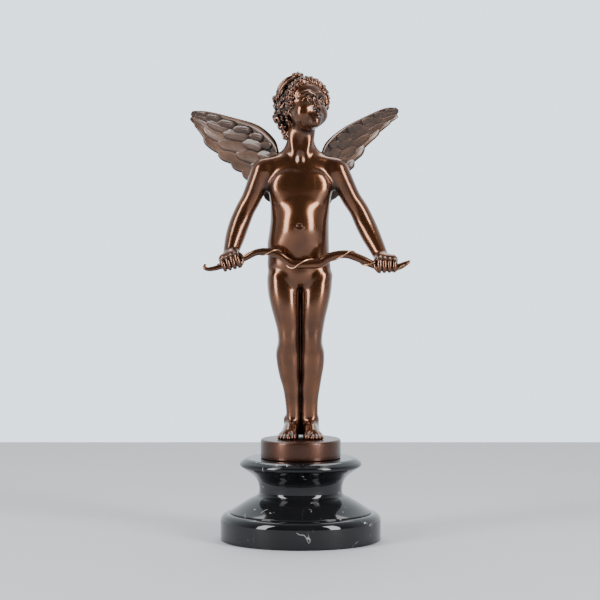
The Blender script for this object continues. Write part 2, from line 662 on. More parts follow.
def model_head(clay):
    """Skull, cheeks and chin, then brow, eye and lids on each side, the nose with its wings
    and nostrils, and the two lips with the line between them."""
    for middle, radii, blend in HEAD_FORMS:
        clay.press(on_head(Ball(middle, radii)), blend)
    for side in (-1, 1):
        flip = np.array([side, 1, 1])
        clay.press(on_head(limb_of(mirrored(BROW, side), 10)), 2.4)
        clay.scoop(on_head(Ball(flip * EYE_HOLLOW[0], EYE_HOLLOW[1])), EYE_HOLLOW[2])
        clay.press(on_head(Ball(flip * EYEBALL[0], EYEBALL[1])), 0.4)
        clay.press(on_head(limb_of(mirrored(UPPER_LID, side), 14)), 0.5)
        clay.press(on_head(limb_of(mirrored(LOWER_LID, side), 14)), 0.5)
        clay.scoop(on_head(Ball(flip * PUPIL[0], PUPIL[1])), 0.25)
    clay.press(on_head(limb_of(NOSE, 12)), 2.4)
    for side in (-1, 1):
        flip = np.array([side, 1, 1])
        clay.press(on_head(Ball(flip * NOSE_WING[0], NOSE_WING[1])), 0.9)
        clay.scoop(on_head(Ball(flip * NOSTRIL[0], NOSTRIL[1])), 0.35)
    clay.press(on_head(limb_of(UPPER_LIP, 16)), 0.9)
    clay.press(on_head(limb_of(LOWER_LIP, 12)), 0.9)
    clay.scoop(on_head(limb_of(LIP_LINE, 12)), 0.3)


# %% [markdown]
# ## From clay to bronze pieces
#
# Toes and lips need a much finer net than a thigh, and one net for the whole figure would
# be enormous. So the same clay is drawn as several pieces with nets of their own: body,
# head, two hands and the feet. Two pieces meet at a scarf joint, as in joinery. At the joint
# both follow the clay exactly, and past it each one sinks a few hundredths of a millimetre
# under the other before it ends. No seam shows, and no two surfaces lie in one place.

# %% Joints between the pieces
TUCK = 0.07
TUCK_LENGTH = 3.0
NECK_JOINT = 226.0
ANKLE_JOINT = 19.0
HANDS_BEYOND = 34.0
# A point on each wrist and the way along the arm to the hand
WRIST_ON_THE_LEFT = ((-51.2, -1.0, 142.5), (-0.155, -0.540, -0.826))
WRIST_ON_THE_RIGHT = ((56.4, -0.7, 142.2), (0.420, -0.500, -0.760))


def past_neck(x, y, z):
    """How far a place lies above the joint in the neck."""
    return z - NECK_JOINT


def past_ankles(x, y, z):
    """How far a place lies below the joint in the ankles."""
    return ANKLE_JOINT - z


def past_wrist(wrist):
    """How far past a wrist a place lies, counted only out at the side where the hand is."""
    point, way = wrist

    def past(x, y, z):
        along = sum((p - q) * w for p, q, w in zip((x, y, z), point, way))
        return np.minimum(along, np.abs(x) - HANDS_BEYOND)

    return past


class Share:
    """A share of the clay that ends at joints. It sinks by the tuck past a joint, and stops
    a millimetre beyond the tuck's length."""

    def __init__(self, clay, *past):
        self.clay, self.past = clay, past

    def ended(self, found, x, y, z):
        """The clay's distance, raised by the tuck past the farthest joint, or how far a place
        lies beyond the end, if that is more."""
        past = self.past[0](x, y, z)
        for other in self.past[1:]:
            past = np.maximum(past, other(x, y, z))
        return np.maximum(found + TUCK * smooth(past / TUCK_LENGTH), past - TUCK_LENGTH - 1.0)

    def on_grid(self, axes):
        """The distance of the share on a grid."""
        return self.ended(self.clay.on_grid(axes), *np.ix_(*axes))

    def at(self, points):
        """The distance of the share at any points."""
        return self.ended(self.clay.at(points), *points.T)


def other_side(past):
    """The same joint, counted the other way."""
    return lambda x, y, z: -past(x, y, z)


# %% [markdown]
# Now the child is put together in one clay and drawn share by share. A low web fills the
# dark place between the heels, where no gap can be seen. Toes, lids and lips get a net about
# half as coarse as that of the body.

# %% Body, head, hands and feet
HEEL_WEB = (((0.4, 17.8, 3.0), 2.2), ((0.4, 17.0, 12.0), 1.9), ((0.3, 16.0, 22.0), 1.0))
figure = Clay()
model_trunk(figure)
model_arms(figure)
model_neck(figure)
model_head(figure)
for foot in FEET:
    model_foot(figure, foot)
for fist in (FIST_ON_THE_LEFT, FIST_ON_THE_RIGHT):
    model_fist(figure, fist)
figure.press(limb_of(HEEL_WEB), 1.8)

at_left, at_right = past_wrist(WRIST_ON_THE_LEFT), past_wrist(WRIST_ON_THE_RIGHT)
# The joints that end each piece, the corners of its block and the grain of its net
SHARES = {
    "cupid_body": ((past_neck, past_ankles, at_left, at_right), (-61, -13, 13), (65, 29, 231), 0.74),
    "cupid_head": ([other_side(past_neck)], (-21, -22, 220), (27, 30, 272), 0.36),
    "cupid_feet": ([other_side(past_ankles)], (-22, -18, -4.5), (24, 30, 25), 0.40),
    "cupid_hand_on_the_left": ([other_side(at_left)], (-65, -21, 121), (-40, 8, 149), 0.36),
    "cupid_hand_on_the_right": ([other_side(at_right)], (48, -21, 119), (78, 8, 149), 0.36),
}
for name, (joints, low, high, grain) in SHARES.items():
    points, faces, hollow = skin(Share(figure, *joints), low, high, grain, figure)
    keep_hollows(make_piece(name, points, [faces], "bronze_cupid"), hollow)

# %% [markdown]
# ## The hair
#
# The child has short tight curls all over the head, a tuft on the crown with a long lock
# swept back from it, and a few curls down the neck. Hair in bronze is a carved mass, not
# strands. So it is clay as well: a cap over the skull, cut off by a slanting plane at the
# hairline, and snail curls set round it by the golden angle. Each new curl is turned
# by that angle from the last, and so they never line up in rows.

# %% Curls
# The cap's middle and radii, the way that the hairline's plane faces and how far out it is
HAIR_CAP = ((0.0, 3.6, 5.2), (17.2, 18.8, 16.9))
HAIRLINE = ((-0.12, -0.95, -0.31), 8.2)
NAPE = -14.0
CURLS = 118
FRINGE = 25
CURL_RADIUS = 2.55
CURL_STRAND = 1.2
CURL_RISE = 1.9
TOPKNOT = (-2.4, 1.5, 268.9)
TOPKNOT_RADII = (4.7, 3.6, 2.9)
SWEPT_LOCK = ((-4.0, 0.0, 269.2), (-8.2, -0.6, 267.4), (-12.6, 0.0, 263.8),
              (-15.6, 1.5, 259.0), (-17.4, 4.0, 252.0))
SWEPT_RADII = (1.6, 1.9, 2.0, 1.8, 1.0)
NAPE_CURLS = ((-15.8, 7.0, 237.5), (-12.8, 8.0, 232.8), (-10.2, 9.0, 228.0),
              (-17.0, 12.0, 239.6), (-11.8, 13.4, 231.6), (-9.2, 8.6, 224.4))


def curl(middle, outwards, spin, size=1.0):
    """A lock wound one turn and a quarter inwards while it rises off the head: at a share s of
    its length the strand is 1 - 0.7 s of the radius from the middle and 7.6 s round it."""
    side = np.cross(outwards, (0.3, 0.2, 1.0))
    side /= np.linalg.norm(side)
    up = np.cross(outwards, side)
    share = np.linspace(0, 1, 9)[:, None]
    angle = spin + share * 7.6 * math.copysign(1, math.sin(7.0 * spin))
    reach = size * CURL_RADIUS * (1 - 0.7 * share)
    ring = np.cos(angle) * side + 0.8 * np.sin(angle) * up
    points = middle + reach * ring + outwards * share * CURL_RISE * size
    return Limb(points, size * CURL_STRAND * (1 - 0.35 * share[:, 0]), 14)


class HairCap:
    """The hair's bulk: an ellipsoid, cut off where a place lies ahead of the hairline."""

    def __init__(self):
        self.ball = Ball(*HAIR_CAP)
        self.low, self.high = self.ball.low, self.ball.high

    def __call__(self, x, y, z):
        """The ball's distance or that to the plane, whichever is more."""
        way, reach = HAIRLINE
        return np.maximum(self.ball(x, y, z), x * way[0] + y * way[1] + z * way[2] - reach)


def model_hair(clay):
    """The cap with its curls, a fringe of curls along the hairline, the topknot with eight
    curls round a ninth, three strands of the swept lock, and the curls on the neck."""
    clay.press(on_head(HairCap()), 1.0)
    middle, radii = np.array(HAIR_CAP[0]), np.array(HAIR_CAP[1])
    golden = math.pi * (3 - math.sqrt(5))
    way, reach = HAIRLINE
    for n in range(CURLS):
        height = 1 - 2 * (n + 0.5) / CURLS
        around = math.sqrt(1 - height**2)
        direction = np.array([around * math.cos(golden * n), around * math.sin(golden * n), height])
        place = middle + direction * radii
        if np.dot(place, way) < reach + 0.4 and place[2] > NAPE:
            tilted = direction + 0.35 * np.array([math.sin(3.1 * n), math.sin(4.7 * n), math.sin(6.3 * n)])
            tilted /= np.linalg.norm(tilted)
            clay.press(on_head(curl(place, tilted, 2.4 * n, 1.0 + 0.22 * math.sin(5.0 * n))), 0.3)
    way = np.array(way)
    for n in range(FRINGE):
        angle = 2 * math.pi * (n + 0.5) / FRINGE
        direction = np.array([math.sin(angle), -0.45, math.cos(angle)])
        place = middle + direction / np.linalg.norm(direction / radii) * 0.985
        place = place + way * (reach - np.dot(place, way) - 0.6) / np.dot(way, way)
        if place[2] > NAPE:
            clay.press(on_head(Ball(place - 1.2 * direction, 2.7)), 0.8)
            clay.press(on_head(curl(place, direction / np.linalg.norm(direction), 1.9 * n, 1.05)), 0.3)
    clay.press(Ball(TOPKNOT, TOPKNOT_RADII), 1.5)
    for n in range(9):
        angle = n * 2 * math.pi / 8
        outwards = np.array([math.cos(angle), math.sin(angle), 0.8]) if n < 8 else np.array([0.0, 0.0, 1.0])
        outwards /= np.linalg.norm(outwards)
        place = np.array(TOPKNOT) + np.array(TOPKNOT_RADII) * outwards * 0.7
        clay.press(curl(place, outwards, 1.3 * n, 0.85), 0.25)
    for shift, size in (((0.0, -1.2, -1.3), 0.72), ((-0.8, 0.8, 0.5), 0.8), ((0.6, 2.2, -0.6), 0.7)):
        clay.press(Limb(np.array(SWEPT_LOCK) + shift, size * np.array(SWEPT_RADII)), 0.3)
    for n, place in enumerate(NAPE_CURLS):
        clay.press(Ball(place, 2.8), 1.5)
        outer = np.array(place) + (-1.2, -1.4, 0.0)
        clay.press(curl(outer, np.array([-0.6, -0.8, 0.0]), 1.7 * n, 1.15), 0.3)


hair = Clay()
model_hair(hair)
points, faces, hollow = skin(hair, (-27, -20, 217), (27, 31, 276), 0.44, hair)
keep_hollows(make_piece("cupid_hair", points, [faces], "bronze_cupid"), hollow)

# %% [markdown]
# ## The wings
#
# The wings are too thin for clay, so they are drawn on two parameters instead. The span runs
# from 0 at the back to 1 at the tip, and the chord from 0 at the leading edge to 1 at the
# trailing edge. Each edge is a smooth curve through a few places seen from the front. The
# wing sweeps backwards as it goes out, and behind the arm it is hollow like a shallow dish.

# %% The shape of a wing
# Places from side to side and their heights, from root to tip
WINGS = {
    "wing_on_the_left": {
        "leading": ((-11.0, 203.0), (-15.5, 212.0), (-19.5, 223.0), (-31.8, 233.4),
                    (-52.0, 239.5), (-70.0, 243.7), (-82.6, 244.2)),
        "trailing": ((-9.0, 168.0), (-23.5, 176.0), (-38.5, 190.6), (-51.0, 201.8),
                     (-66.0, 214.5), (-77.0, 230.5), (-84.8, 240.2)),
        "sweep": 0.38,
        "tips": (0.97, 0.90, 0.77, 0.635, 0.53, 0.425, 0.32, 0.22, 0.12),
    },
    "wing_on_the_right": {
        "leading": ((10.5, 203.0), (14.8, 212.0), (19.6, 221.5), (32.0, 231.5),
                    (50.0, 240.6), (64.0, 246.2), (74.2, 246.6)),
        "trailing": ((8.5, 168.0), (23.5, 176.0), (36.0, 197.6), (42.4, 208.6),
                     (52.6, 221.8), (65.0, 233.4), (76.4, 241.8)),
        "sweep": 0.62,
        "tips": (0.965, 0.88, 0.76, 0.60, 0.46, 0.34, 0.25, 0.17, 0.09),
    },
}
WING_ROOT_DEPTH = 14.0
WING_HOLLOW = 6.5
# Half the thickness of the arm inside the wing, and of the plate behind it
WING_ARM = 3.2
WING_PLATE = 0.9


def edge_point(rows, share):
    """Where a share of an edge lies, counted in even steps along its curve."""
    curve = eased(rows, 240)
    at = np.linspace(0, 1, len(curve))
    return np.stack([np.interp(share, at, curve[:, 0]), np.interp(share, at, curve[:, 1])], axis=-1)


def on_wing(shape, share, chord):
    """Where a share of the span and of the chord lie, seen from the front: a mix of the two
    edges, carried on in a straight line past the trailing one."""
    leading, trailing = edge_point(shape["leading"], share), edge_point(shape["trailing"], share)
    return leading + (trailing - leading) * chord[..., None]


def wing_place(shape, share, chord, out, face):
    """A point of the wing, raised by out from its middle layer on the front (face -1) or the
    back (face 1). The depth is the sweep, and a hollow that follows a sine over the chord."""
    flat = on_wing(shape, share, chord)
    inner = abs(shape["leading"][0][0])
    depth = WING_ROOT_DEPTH + shape["sweep"] * (np.abs(flat[..., 0]) - inner)
    dish = WING_HOLLOW * np.sin(math.pi * 0.62 * chord)
    depth = depth + dish * np.clip(3.5 * share, 0, 1) ** 2 * (1 - 0.5 * share)
    return np.stack([flat[..., 0], depth + face * out, flat[..., 1]], axis=-1)


def plate_at(share, chord):
    """Half the thickness of the bare wing: a plate, and the arm as a bell curve over the chord."""
    arm = WING_ARM * (1 - 0.6 * share) * np.exp(-((chord - 0.09) / 0.15) ** 2)
    return WING_PLATE + arm * (1 - 0.75 * smooth((share - 0.25) / 0.5))


# %% [markdown]
# The bare wing is a closed sheet with rounded edges, and its trailing edge stays a little
# short, because there the tips of the long feathers make the outline. Rings round the
# section are joined from root to tip, and the two end rings are closed by one face each.

# %% The bare wing
def ring_faces(rows, around, flip=False):
    """Four-sided faces between rows of rings, and the two faces that close the ends."""
    i, j = np.meshgrid(np.arange(rows - 1), np.arange(around), indexing="ij")
    k = (j + 1) % around
    here, onwards = i * around, (i + 1) * around
    sides = np.stack([here + j, here + k, onwards + k, onwards + j], -1).reshape(-1, 4)
    ends = np.array([np.arange(around)[::-1], (rows - 1) * around + np.arange(around)])
    return (sides[:, ::-1], ends[:, ::-1]) if flip else (sides, ends)


def bare_wing(shape, span_steps=150, around=64):
    """Rings of points from root to tip. Round a ring the chord follows half of one less the
    cosine, and the thickness goes to nothing at both edges and at the tip."""
    share = np.linspace(0, 0.97, span_steps)[:, None]
    turn = np.linspace(0, 2 * math.pi, around, endpoint=False)[None, :]
    chord = (0.90 - 0.35 * smooth((share - 0.75) / 0.2)) * (0.5 - 0.5 * np.cos(turn))
    edges = np.sqrt(np.clip(1 - np.abs(np.cos(turn)) ** 9, 0, 1))
    rounded = edges * np.sqrt(1 - np.clip(2 * share - 1, 0, 1) ** 16)
    face = -np.sign(np.round(np.sin(turn), 6))
    return wing_place(shape, share + 0 * chord, chord, plate_at(share, chord) * rounded, face)


# %% [markdown]
# A feather lies between two places of the wing, its root and its tip. It is a long blade with
# a rounded end, domed across, with a shaft down the middle. All the feathers of a wing are
# worked out at once in arrays of feather by step by place across. The rows overlap like
# shingles: each stands a little higher than the one beneath, and within a row each feather
# is tilted so that one edge lies over its neighbour. Both faces of the wing have them.

# %% Feathers
# For each row: how many, or 0 for one at each of the wing's tips, chord at root and tip, how
# far a feather reaches along the span, half the width, and the level over the plate
FEATHER_ROWS = (
    (0, 0.72, 0.91, 0.48, 5.6, 0.15),
    (7, 0.52, 0.74, 0.36, 5.6, 0.60),
    (7, 0.33, 0.48, 0.27, 4.6, 1.00),
    (9, 0.17, 0.28, 0.18, 3.2, 1.30),
)
# Places round a feather's section: 19 across its top from edge to edge, and 3 back below
ACROSS = np.array([-1, -0.985, -0.93, -0.8, -0.6, -0.4, -0.2, -0.1, -0.05, 0, 0.05, 0.1, 0.2,
                   0.4, 0.6, 0.8, 0.93, 0.985, 1, 0.6, 0, -0.6])
TOP_PLACES = 19
UNDERSIDE = -0.2
# The longest feathers reach this much of the chord further, near the root
LONGER_AT_ROOT = 0.07


def feather_ends(shape):
    """Root span, root chord, tip span, tip chord, half width and level, a feather on a row."""
    found = [(0.62, 0.34, 0.99, 0.40, 6.0, 0.25)]
    for count, root, tip, reach, half, level in FEATHER_ROWS:
        tips = shape["tips"] if not count else [0.95 * (n + 0.9) / count for n in range(count)]
        more = LONGER_AT_ROOT if not count else 0.0
        found += [(t * (1 - reach / (0.35 + t)), root, t, tip + more * (1 - t), half, level) for t in tips]
    return np.array(found)


def feathers(shape, face, steps=24):
    """All feathers on one face, as arrays of feather, step along and place across. A place is
    moved aside from the feather's middle in millimetres, and turned back into span and chord
    by how much each of the two moves a place there. Its height is the plate's, the row's
    level, the dome, the tilt and the shaft together, and it sinks in at the root."""
    s0, c0, s1, c1, half, level = (v[:, None, None] for v in feather_ends(shape).T)
    along = (1 - (1 - np.linspace(0, 1, steps)) ** 1.7)[None, :, None]
    across = ACROSS[None, None, :]
    share = s0 + (s1 - s0) * along
    chord = c0 + (c1 - c0) * (0.35 * along + 0.65 * along**2)
    middle = on_wing(shape, share, chord)
    step = 0.004
    inner = np.clip(share, step, 1 - step)
    by_share = (on_wing(shape, inner + step, chord) - on_wing(shape, inner - step, chord)) / (2 * step)
    by_chord = (on_wing(shape, share, chord + step) - on_wing(shape, share, chord - step)) / (2 * step)
    way = np.gradient(middle, axis=1)
    length = np.linalg.norm(way, axis=-1).sum(axis=1, keepdims=True)
    way /= np.linalg.norm(way, axis=-1, keepdims=True)
    room = np.clip(np.linalg.norm(by_chord, axis=-1) / 24, 0.42, 1)
    width = half * room
    last = np.clip((along * length - (length - 1.25 * width)) / (1.25 * width), 0, 0.985)
    width = width * np.sqrt(1 - last**2) * (0.6 + 0.4 * smooth(along / 0.35))
    aside = np.stack([-way[..., 1], way[..., 0]], -1) * (width * across)[..., None]
    det = by_share[..., 0] * by_chord[..., 1] - by_share[..., 1] * by_chord[..., 0]
    share = share + (aside[..., 0] * by_chord[..., 1] - aside[..., 1] * by_chord[..., 0]) / det
    chord = chord + (by_share[..., 0] * aside[..., 1] - by_share[..., 1] * aside[..., 0]) / det
    share, chord = np.clip(share, 0, 1), np.clip(chord, 0.02, 1.15)
    lean = math.copysign(1, shape["leading"][0][0])
    plate = plate_at(share, np.minimum(chord, 0.93)) * np.clip(1.6 - 0.9 * chord, 0.5, 1)
    top = plate + level * np.clip(room + 0.2, 0, 1)
    top = top + 0.45 * (1 - across**2) - 0.26 * across * lean + 0.3 * along
    top = top - 1.5 * (1 - smooth(along / 0.22))
    top = top + 0.16 * np.exp(-((across / 0.07) ** 2)) * (1 - along)
    edge = np.sqrt(np.clip(1 - np.abs(across) ** 14, 0, 1))
    top = UNDERSIDE + (top - UNDERSIDE) * edge
    top[..., TOP_PLACES:] = UNDERSIDE
    points = wing_place(shape, share, chord, top, face)
    hollow = 0.85 * smooth((np.abs(across) - 0.72) / 0.28) + 0.7 * (1 - smooth(along / 0.25))
    none = np.zeros(share.shape)
    return points, along + none, across + none, hollow + none


def wing_piece(name, shape):
    """The bare wing and all its feathers as one list of points and faces. Each point has a
    number along its feather and one across it, for the barbs, and how hollow it lies."""
    on_the_left = shape["leading"][0][0] < 0
    bare = bare_wing(shape)
    none = np.zeros(bare.shape[:2])
    turn = np.linspace(0, 2 * math.pi, bare.shape[1], endpoint=False)
    chord = 0.5 - 0.5 * np.cos(turn) + none
    parts = [(bare, none, none, 0.8 * smooth((chord - 0.2) / 0.1), on_the_left)]
    for face in (-1, 1):
        parts += [(*part, face < 0) for part in zip(*feathers(shape, face))]
    quads, ends, start = [], [], 0
    for points, *_, turned in parts:
        sides, caps = ring_faces(points.shape[0], points.shape[1], turned)
        quads.append(sides + start)
        ends.append(caps + start)
        start += points.shape[0] * points.shape[1]
    points = np.vstack([part[0].reshape(-1, 3) for part in parts])
    numbers = [np.concatenate([part[i].ravel() for part in parts]) for i in (1, 2, 3)]
    return points, quads + ends, *numbers


for name, shape in WINGS.items():
    points, faces, along, across, hollow = wing_piece(name, shape)
    wing = make_piece(name, points, faces, "bronze_cupid", sharp=50.0)
    keep_numbers(wing, "along", along)
    keep_numbers(wing, "across", across)
    keep_hollows(wing, hollow)
    print(name, "spans", np.round(points.min(0), 1), "to", np.round(points.max(0), 1), "mm")

# %% [markdown]
# ## The bow and its cord
#
# The bow is cast with the hands. It has two humps with a dip in the middle, a hooked tip on
# one side and a longer upturned one on the other. Its middle line is a smooth curve through
# points that each have a radius, and a ring of points is set round it at every step. The cord
# is a thin tube wound round the bow in a long helix.

# %% Bow and bowstring
# Points down the middle of the bow, with the radius at each
BOW = (
    ((-70.4, -9.6, 131.0), 0.9),
    ((-71.2, -10.6, 128.4), 1.3),
    ((-68.6, -11.2, 127.2), 1.6),
    ((-63.8, -11.0, 127.8), 1.9),
    ((-57.8, -10.8, 129.6), 2.1),
    ((-51.9, -10.8, 131.9), 2.0),
    ((-42.6, -11.0, 134.6), 2.1),
    ((-33.3, -11.4, 139.4), 2.5),
    ((-25.0, -11.6, 140.3), 2.7),
    ((-16.4, -11.4, 137.8), 2.9),
    ((-10.6, -11.2, 133.8), 3.0),
    ((-6.6, -11.2, 131.2), 3.2),
    ((-2.8, -11.2, 130.6), 3.3),
    ((4.5, -11.2, 130.8), 3.3),
    ((11.5, -11.2, 131.1), 3.7),
    ((15.4, -11.2, 132.3), 3.8),
    ((19.6, -11.4, 135.2), 3.5),
    ((26.5, -11.6, 137.8), 3.0),
    ((34.0, -11.4, 138.2), 3.1),
    ((40.0, -11.2, 136.5), 3.1),
    ((46.2, -11.2, 133.9), 3.1),
    ((52.5, -11.2, 131.0), 2.9),
    ((60.8, -11.4, 128.3), 2.7),
    ((71.0, -11.6, 128.7), 2.6),
    ((77.0, -11.6, 131.0), 2.0),
    ((81.2, -11.4, 133.4), 0.9),
)
CORD_RADIUS = 0.5
# How far the middle of the cord stands off the bow, and the steps of the bow it covers
CORD_STAND = 0.2
CORD_SPAN = slice(96, -30)
# Where the cord crosses the front of the bow, from side to side
CORD_CROSSINGS = (-66.0, -45.0, -22.8, -2.0, 33.0, 51.6, 74.0)


def along_path(points):
    """Two ways square to a path at each of its points: upwards and to the front."""
    way = np.gradient(points, axis=0)
    way /= np.linalg.norm(way, axis=1, keepdims=True)
    up = np.cross(way, (0.0, 1.0, 0.0))
    up /= np.linalg.norm(up, axis=1, keepdims=True)
    return up, np.cross(way, up)


def tube(points, radii, around, fullness=1.0):
    """Rings of points round a path. The angle counts from upwards towards the front. A
    fullness below 1 raises sine and cosine to that power, which gives four blunt edges."""
    up, front = along_path(points)
    angle = np.linspace(0, 2 * math.pi, around, endpoint=False)
    c, s = (np.sign(f) * np.abs(f) ** fullness for f in (np.cos(angle), np.sin(angle)))
    rings = c[:, None] * up[:, None] + s[:, None] * front[:, None]
    return points[:, None] + radii[:, None, None] * rings, ring_faces(len(points), around)


def rounded_ends(radii, points):
    """The radii, drawn in at both ends like a dome of the end's own radius."""
    travelled = np.concatenate([[0], np.cumsum(np.linalg.norm(np.diff(points, axis=0), axis=1))])
    for away, end in ((travelled, radii[0]), (travelled[-1] - travelled, radii[-1])):
        share = np.clip(1 - away / end, 0, 0.99)
        radii = radii * np.sqrt(1 - share**2)
    return radii


path = eased([[*p, r] for p, r in BOW], 700)
bow_line, bow_radii = path[:, :3], path[:, 3]
rings, faces = tube(bow_line, rounded_ends(bow_radii, bow_line), 48, fullness=0.84)
make_piece("bow", rings.reshape(-1, 3), faces, "bronze_cupid")

span = CORD_SPAN
turns = np.interp(bow_line[span, 0], CORD_CROSSINGS, np.arange(len(CORD_CROSSINGS)))
angle = math.pi * (0.5 - 2 * turns)[:, None]
up, front = along_path(bow_line[span])
outwards = np.cos(angle) * up + np.sin(angle) * front
cord_line = bow_line[span] + (bow_radii[span, None] + CORD_STAND) * outwards
rings, faces = tube(cord_line, rounded_ends(np.full(len(cord_line), CORD_RADIUS), cord_line), 14)
make_piece("bowstring", rings.reshape(-1, 3), faces, "bronze_cupid")

# %% [markdown]
# ## The foot disc and the plinth
#
# Both are turned work, so half of the outline is enough. It runs from the middle of the top,
# down the outer side, to the middle of the underside. The plinth has a sloping top, a lip with
# a sharp lower edge, a hollow neck, a small ledge, a swelling bell and then a broad foot band
# with a round shoulder. Arcs and cubic curves give the outline, and every point of it is
# carried round the axis.

# %% Disc and plinth
PLINTH_LIP = 91.0
PLINTH_NECK = 62.0
PLINTH_FOOT = 120.0
PLINTH_TOP = 78.0
LIP_RADIUS = 2.4
LIP_LEVEL = 57.0
NECK_LEVEL = 37.0
LIP_START, LIP_END = 60, -50
BAND_HEIGHT = 14.5
SHOULDER_RADIUS = 6.0
STEP_RADIUS = 0.3
FOOT_BEVEL = 0.8
DISC_SHOULDER, DISC_BEVEL = 1.6, 0.5


def arc(middle, radius, start, end, steps):
    """Points of an arc between two angles in degrees, at the radius times cosine outwards and
    sine upwards from its middle."""
    angle = np.radians(np.linspace(start, end, steps + 1))
    return np.column_stack([middle[0] + radius * np.cos(angle), middle[1] + radius * np.sin(angle)])


def bend(start, pull_start, pull_end, end, steps):
    """A cubic curve between two ends, drawn towards the two points between them."""
    t = np.linspace(0, 1, steps + 1)[:, None]
    a, b, c, d = (np.array(p, float) for p in (start, pull_start, pull_end, end))
    return a * (1 - t) ** 3 + 3 * b * t * (1 - t) ** 2 + 3 * c * t**2 * (1 - t) + d * t**3


def lathe(outline, around=240):
    """A closed solid of revolution. The first and last points of the outline lie on the axis,
    so they become one point each, with a fan of triangles."""
    ring = outline[1:-1]
    angle = np.linspace(0, 2 * math.pi, around, endpoint=False)
    x, y = (np.outer(ring[:, 0], f(angle)) for f in (np.cos, np.sin))
    points = np.stack([x, y, np.repeat(ring[:, 1:], around, 1)], -1).reshape(-1, 3)
    ends = np.array([[0, 0, outline[0, 1]], [0, 0, outline[-1, 1]]])
    sides, _ = ring_faces(len(ring), around, flip=True)
    j = np.arange(around)
    k, top, low = (j + 1) % around, len(points), len(points) + 1
    last = (len(ring) - 1) * around
    fans = np.vstack([np.column_stack([np.full(around, top), j, k]),
                      np.column_stack([np.full(around, low), last + k, last + j])])
    return np.vstack([points, ends]), [sides, fans]


def plinth_outline():
    """The plinth's outline: a cubic top, the arc of the lip, a cubic into the neck and one
    out to the ledge, the bell, a small step, the round shoulder and the bevelled foot."""
    lip, neck, foot = PLINTH_LIP / 2, PLINTH_NECK / 2, PLINTH_FOOT / 2
    drop = LIP_LEVEL - NECK_LEVEL
    lip_middle = (lip - LIP_RADIUS, LIP_LEVEL)
    upper, lower = (arc(lip_middle, LIP_RADIUS, at, at, 1)[0] for at in (LIP_START, LIP_END))
    shoulder_top = BAND_HEIGHT + SHOULDER_RADIUS
    ledge = (neck + 4.0, NECK_LEVEL - 4.6)
    bell = (foot - SHOULDER_RADIUS - 1.0, shoulder_top + 1.0)
    return np.vstack([
        (0.0, PLINTH_HEIGHT),
        bend((PLINTH_TOP / 2, PLINTH_HEIGHT), (PLINTH_TOP / 2 + 2.5, PLINTH_HEIGHT),
             (lip_middle[0], LIP_LEVEL + LIP_RADIUS + 0.6), upper, 16),
        arc(lip_middle, LIP_RADIUS, LIP_START, LIP_END, 18)[1:],
        bend(lower, (lip - 8.0, LIP_LEVEL - 0.35 * drop),
             (neck, NECK_LEVEL + 0.55 * drop), (neck, NECK_LEVEL), 36)[1:],
        bend((neck, NECK_LEVEL), (neck, NECK_LEVEL - 2.5),
             (neck + 1.2, NECK_LEVEL - 3.6), ledge, 12)[1:],
        bend(ledge, (neck + 12.0, NECK_LEVEL - 8.4),
             (foot - SHOULDER_RADIUS - 8.0, shoulder_top + 5.0), bell, 36)[1:],
        arc((bell[0] - 0.25, bell[1] - STEP_RADIUS), STEP_RADIUS, 40, 0, 3),
        (bell[0], shoulder_top),
        arc((foot - SHOULDER_RADIUS, BAND_HEIGHT), SHOULDER_RADIUS, 90, 0, 24),
        arc((foot - FOOT_BEVEL, FOOT_BEVEL), FOOT_BEVEL, 0, -90, 5),
        (0.0, 0.0),
    ])


def disc_outline():
    """The disc's outline: a round shoulder and a bevelled lower edge."""
    edge, low = DISC_DIAMETER / 2, PLINTH_HEIGHT + SEAT_GAP
    return np.vstack([
        (0.0, GROUND),
        arc((edge - DISC_SHOULDER, GROUND - DISC_SHOULDER), DISC_SHOULDER, 90, 0, 14),
        arc((edge - DISC_BEVEL, low + DISC_BEVEL), DISC_BEVEL, 0, -90, 5),
        (0.0, low),
    ])


points, faces = lathe(disc_outline())
make_piece("foot_disc", points, faces, "bronze_cupid", lift=0.0, sharp=40.0)
points, faces = lathe(plinth_outline(), 300)
make_piece("plinth", points, faces, "marble_plinth", lift=0.0, sharp=30.0)

# %% [markdown]
# ## Bronze
#
# Old statuary bronze is brown because of its patina, a thin skin that is made with
# chemicals and heat, and then waxed. On the high parts the skin is worn and shines warm. In
# the folds it stays dark and dull. The material mixes between the two by the number that
# was stored for how hollow each point lies, and soft noise makes the tone uneven. The wax
# is a clear coat, which gives highlights with no colour over the brown metal.

# %% Bronze materials
def new_material(name):
    """A material with one surface shader, and that shader."""
    made = bpy.data.materials.new(name)
    made.use_nodes = True
    nodes = made.node_tree.nodes
    nodes.clear()
    shader = nodes.new("ShaderNodeBsdfPrincipled")
    output = nodes.new("ShaderNodeOutputMaterial")
    made.node_tree.links.new(shader.outputs["BSDF"], output.inputs["Surface"])
    return made, shader


def node(made, kind, settings=(), **inputs):
    """A node with its settings and inputs. An input goes by its name, or by n and its place,
    and takes a number, a colour or another socket."""
    one = made.node_tree.nodes.new(kind)
    for key, value in dict(settings).items():
        setattr(one, key, value)
    for key, value in inputs.items():
        by_place = key[0] == "n" and key[1:].isdigit()
        socket = one.inputs[int(key[1:]) if by_place else key.replace("_", " ")]
        if isinstance(value, bpy.types.NodeSocket):
            made.node_tree.links.new(value, socket)
        else:
            socket.default_value = value
    return one


def noise(made, scale, detail=4.0, roughness=0.55):
    """Soft noise from 0 to 1 in the object's own metres."""
    where = node(made, "ShaderNodeTexCoord").outputs["Object"]
    pattern = node(made, "ShaderNodeTexNoise", Vector=where, Scale=scale, Detail=detail,
                   Roughness=roughness)
    return pattern.outputs["Fac"]


def stored(made, name):
    """The number that each point keeps under a name."""
    return node(made, "ShaderNodeAttribute", {"attribute_name": name}).outputs["Fac"]


